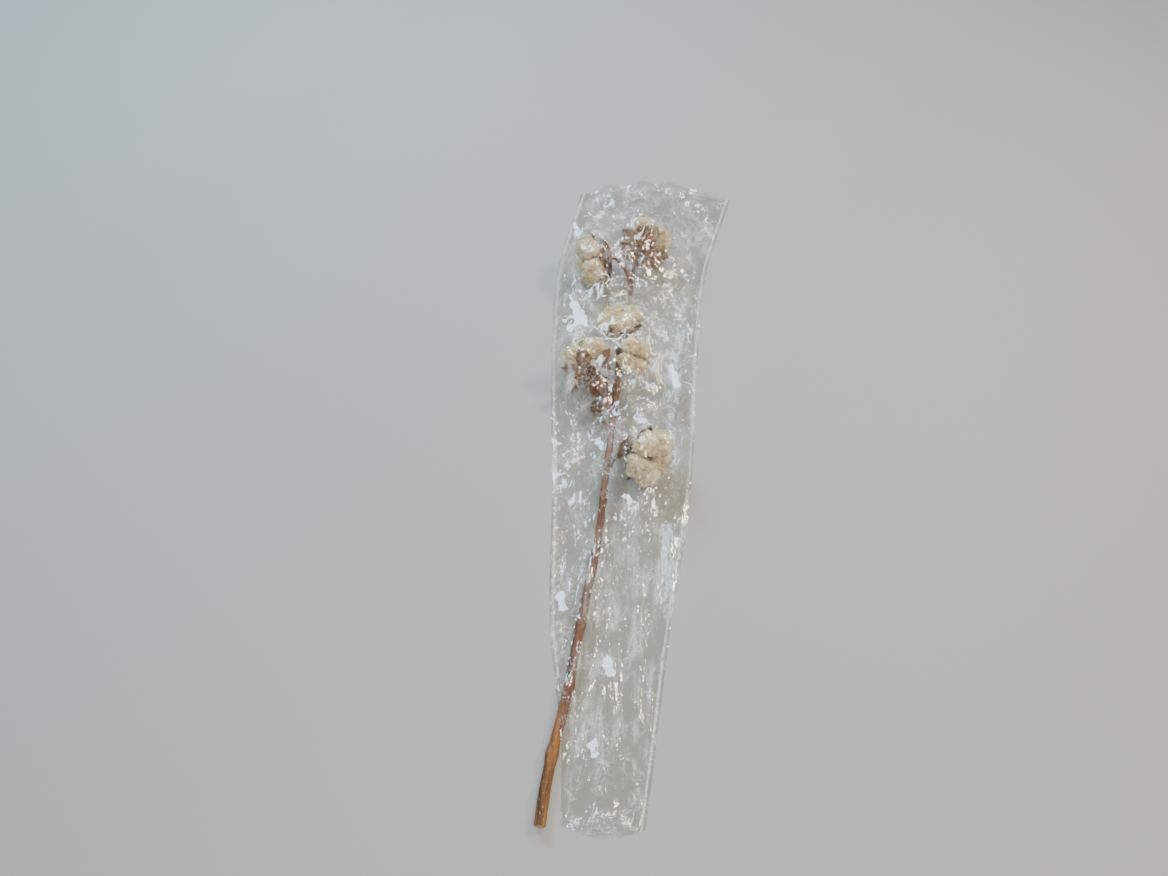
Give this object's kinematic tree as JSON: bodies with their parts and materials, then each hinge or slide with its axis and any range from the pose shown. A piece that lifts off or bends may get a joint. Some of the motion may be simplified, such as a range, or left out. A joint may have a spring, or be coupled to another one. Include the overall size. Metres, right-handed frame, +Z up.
{
  "type": "cotton stem bunch in a clear sleeve",
  "caption": "Cut, branched stem of natural cotton with open bolls in woody burrs and a closed pod, lying in a clear tapered film sleeve open at head and foot.",
  "frame": {"origin": "under the middle of the footprint, on the surface that the bunch lies on", "axes": "+Y from the cut end to the head, +X across the sleeve, +Z up"},
  "size_m": [0.195, 0.7422, 0.067],
  "materials": {
    "bark": "dry reddish-brown bark, matt, with raised nodes",
    "burr": "dry split woody capsule, matt outside and smoother inside",
    "pod": "dry closed capsule, matt",
    "bract": "dry papery leaf, veined, matt",
    "lint": "soft cream fibre with a fuzzy edge",
    "film": "thin clear crinkled film, glossy"
  },
  "bodies": {
    "root": {"boll_1_bracts": "bract", "boll_1_burr": "burr", "boll_1_lock_1": "lint", "boll_1_lock_2": "lint", "boll_1_lock_3": "lint", "boll_1_lock_4": "lint", "boll_1_lock_5": "lint", "boll_2_bracts": "bract", "boll_2_burr": "burr", "boll_2_lock_1": "lint", "boll_2_lock_2": "lint", "boll_2_lock_3": "lint", "boll_2_lock_4": "lint", "boll_3_burr": "burr", "boll_3_lock_1": "lint", "boll_3_lock_2": "lint", "boll_3_lock_3": "lint", "boll_3_lock_4": "lint", "boll_4_bracts": "bract", "boll_4_burr": "burr", "boll_4_lock_1": "lint", "boll_4_lock_2": "lint", "boll_4_lock_3": "lint", "boll_4_lock_4": "lint", "boll_4_lock_5": "lint", "boll_5_burr": "burr", "boll_5_lock_1": "lint", "boll_5_lock_2": "lint", "boll_5_lock_3": "lint", "boll_5_lock_4": "lint", "boll_6_bracts": "bract", "boll_6_burr": "burr", "boll_6_lock_1": "lint", "boll_6_lock_2": "lint", "boll_6_lock_3": "lint", "boll_6_lock_4": "lint", "boll_6_lock_5": "lint", "closed_pod": "pod", "sleeve_back_film": "film", "sleeve_front_film": "film", "stem": "bark"}
  },
  "joints": []
}
